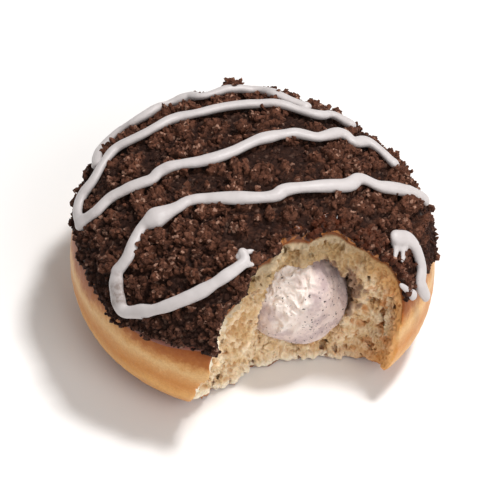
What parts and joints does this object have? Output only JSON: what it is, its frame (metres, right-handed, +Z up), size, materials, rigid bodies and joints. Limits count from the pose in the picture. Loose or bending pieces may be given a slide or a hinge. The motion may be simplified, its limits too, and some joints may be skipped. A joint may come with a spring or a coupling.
{
  "type": "bitten cream-filled doughnut",
  "caption": "Round filled doughnut with a bite out of one side, a ball of cream inside, chocolate icing, cookie crumbs and white drizzle on top.",
  "frame": {"origin": "centre of the flat underside, on the axis of the bun", "axes": "+Z up; the bite faces -Y and +X, about 30 degrees round from -Y; +Y away from the viewer of the picture"},
  "size_m": [0.0871, 0.0865, 0.0496],
  "materials": {
    "fried_dough": "matt, golden brown fried skin with a pale belt and an open cream-coloured crumb where it is bitten",
    "cookies_and_cream": "soft satin cream, pinkish white with fine dark cookie specks",
    "chocolate_icing": "thin glossy milk chocolate icing",
    "cookie_crumbs": "matt dark brown broken cookie with white icing drizzle",
    "white_icing": "smooth satin white icing"
  },
  "bodies": {
    "root": {"dough": "fried_dough", "cream_filling": "cookies_and_cream", "chocolate_icing": "chocolate_icing", "cookie_topping": "cookie_crumbs"}
  },
  "joints": []
}
